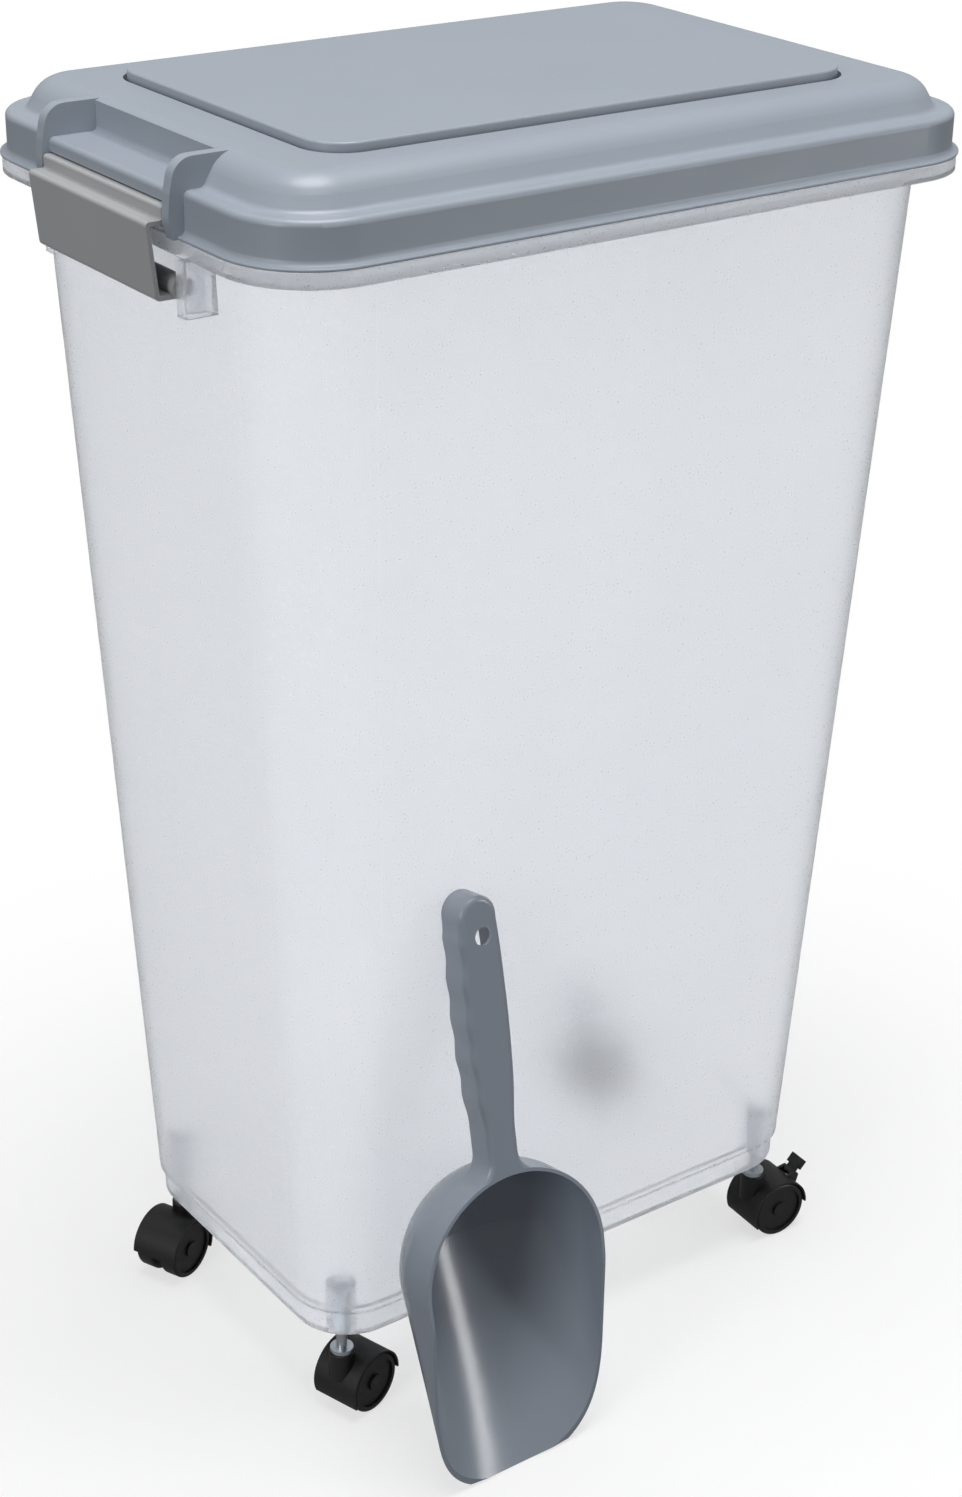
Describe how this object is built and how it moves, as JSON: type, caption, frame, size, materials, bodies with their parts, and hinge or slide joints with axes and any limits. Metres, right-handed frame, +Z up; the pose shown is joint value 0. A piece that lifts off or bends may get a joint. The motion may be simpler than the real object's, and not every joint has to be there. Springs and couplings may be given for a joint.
{
  "type": "rolling pet food storage container",
  "caption": "Tall tapered translucent food bin on swivel casters, with a gasketed lid hinged at one end and latched at the other, and a scoop leaning on its front.",
  "frame": {"origin": "on the floor, in the middle of the footprint of bin and scoop together", "axes": "+Z up, X along the long side of the bin, -Y towards the front where the scoop leans"},
  "size_m": [0.4962, 0.3588, 0.7835],
  "materials": {
    "bin_plastic": "frosted translucent",
    "lid_plastic": "satin",
    "latch_plastic": "satin",
    "seal_rubber": "soft",
    "screw_steel": "plated",
    "socket_plastic": "moulded",
    "stem_zinc": "zinc plated",
    "caster_plastic": "satin",
    "axle_steel": "plain",
    "wheel_plastic": "semi-gloss",
    "lever_plastic": "semi-gloss",
    "scoop_plastic": "satin"
  },
  "bodies": {
    "bin": {"bin": "bin_plastic", "latch_screws": "screw_steel", "hinge_pins": "screw_steel", "caster_socket_front_left": "socket_plastic", "caster_stem_front_left": "stem_zinc", "caster_socket_front_right": "socket_plastic", "caster_stem_front_right": "stem_zinc", "caster_socket_back_left": "socket_plastic", "caster_stem_back_left": "stem_zinc", "caster_socket_back_right": "socket_plastic", "caster_stem_back_right": "stem_zinc"},
    "lid": {"lid": "lid_plastic", "lid_seal": "seal_rubber"},
    "latch": {"latch": "latch_plastic"},
    "caster_front_left": {"caster_hood_front_left": "caster_plastic", "caster_axle_front_left": "axle_steel"},
    "wheel_front_left_a": {"caster_wheel_front_left_a": "wheel_plastic"},
    "wheel_front_left_b": {"caster_wheel_front_left_b": "wheel_plastic"},
    "caster_front_right": {"caster_hood_front_right": "caster_plastic", "caster_axle_front_right": "axle_steel"},
    "wheel_front_right_a": {"caster_wheel_front_right_a": "wheel_plastic"},
    "wheel_front_right_b": {"caster_wheel_front_right_b": "wheel_plastic"},
    "brake_lever_front_right": {"brake_lever_front_right": "lever_plastic"},
    "caster_back_left": {"caster_hood_back_left": "caster_plastic", "caster_axle_back_left": "axle_steel"},
    "wheel_back_left_a": {"caster_wheel_back_left_a": "wheel_plastic"},
    "wheel_back_left_b": {"caster_wheel_back_left_b": "wheel_plastic"},
    "caster_back_right": {"caster_hood_back_right": "caster_plastic", "caster_axle_back_right": "axle_steel"},
    "wheel_back_right_a": {"caster_wheel_back_right_a": "wheel_plastic"},
    "wheel_back_right_b": {"caster_wheel_back_right_b": "wheel_plastic"},
    "brake_lever_back_right": {"brake_lever_back_right": "lever_plastic"},
    "scoop": {"scoop": "scoop_plastic"}
  },
  "joints": [
    {"name": "lid_hinge", "type": "hinge", "parent": "bin", "child": "lid", "pos_m": [0.243, 0.0195, 0.744], "axis": [0, 1, 0], "range_deg": [0, 100]},
    {"name": "latch_swing", "type": "hinge", "parent": "bin", "child": "latch", "pos_m": [-0.23, 0.0195, 0.7117], "axis": [0, -1, 0], "range_deg": [0, 110]},
    {"name": "caster_front_left_swivel", "type": "hinge", "parent": "bin", "child": "caster_front_left", "pos_m": [-0.164, -0.0755, 0.0459], "axis": [0, 0, 1], "continuous": true},
    {"name": "wheel_front_left_a_spin", "type": "hinge", "parent": "caster_front_left", "child": "wheel_front_left_a", "pos_m": [-0.15099, -0.07152, 0.0195], "axis": [-0.2924, 0.9563, 0], "continuous": true},
    {"name": "wheel_front_left_b_spin", "type": "hinge", "parent": "caster_front_left", "child": "wheel_front_left_b", "pos_m": [-0.15099, -0.07152, 0.0195], "axis": [-0.2924, 0.9563, 0], "continuous": true},
    {"name": "caster_front_right_swivel", "type": "hinge", "parent": "bin", "child": "caster_front_right", "pos_m": [0.164, -0.0755, 0.0459], "axis": [0, 0, 1], "continuous": true},
    {"name": "wheel_front_right_a_spin", "type": "hinge", "parent": "caster_front_right", "child": "wheel_front_right_a", "pos_m": [0.17758, -0.07621, 0.0195], "axis": [0.0523, 0.9986, 0], "continuous": true},
    {"name": "wheel_front_right_b_spin", "type": "hinge", "parent": "caster_front_right", "child": "wheel_front_right_b", "pos_m": [0.17758, -0.07621, 0.0195], "axis": [0.0523, 0.9986, 0], "continuous": true},
    {"name": "brake_front_right_press", "type": "hinge", "parent": "caster_front_right", "child": "brake_lever_front_right", "pos_m": [0.19609, -0.07718, 0.03506], "axis": [0.0523, 0.9986, 0], "range_deg": [0, 20]},
    {"name": "caster_back_left_swivel", "type": "hinge", "parent": "bin", "child": "caster_back_left", "pos_m": [-0.164, 0.1145, 0.0459], "axis": [0, 0, 1], "continuous": true},
    {"name": "wheel_back_left_a_spin", "type": "hinge", "parent": "caster_back_left", "child": "wheel_back_left_a", "pos_m": [-0.17652, 0.10919, 0.0195], "axis": [0.3907, -0.9205, 0], "continuous": true},
    {"name": "wheel_back_left_b_spin", "type": "hinge", "parent": "caster_back_left", "child": "wheel_back_left_b", "pos_m": [-0.17652, 0.10919, 0.0195], "axis": [0.3907, -0.9205, 0], "continuous": true},
    {"name": "caster_back_right_swivel", "type": "hinge", "parent": "bin", "child": "caster_back_right", "pos_m": [0.164, 0.1145, 0.0459], "axis": [0, 0, 1], "continuous": true},
    {"name": "wheel_back_right_a_spin", "type": "hinge", "parent": "caster_back_right", "child": "wheel_back_right_a", "pos_m": [0.17752, 0.11592, 0.0195], "axis": [-0.1045, 0.9945, 0], "continuous": true},
    {"name": "wheel_back_right_b_spin", "type": "hinge", "parent": "caster_back_right", "child": "wheel_back_right_b", "pos_m": [0.17752, 0.11592, 0.0195], "axis": [-0.1045, 0.9945, 0], "continuous": true},
    {"name": "brake_back_right_press", "type": "hinge", "parent": "caster_back_right", "child": "brake_lever_back_right", "pos_m": [0.19596, 0.11786, 0.03506], "axis": [-0.1045, 0.9945, 0], "range_deg": [0, 20]},
    {"name": "scoop_lift", "type": "slide", "parent": "bin", "child": "scoop", "axis": [0, -0.5, 0.866], "range_m": [0, 0.3]}
  ]
}
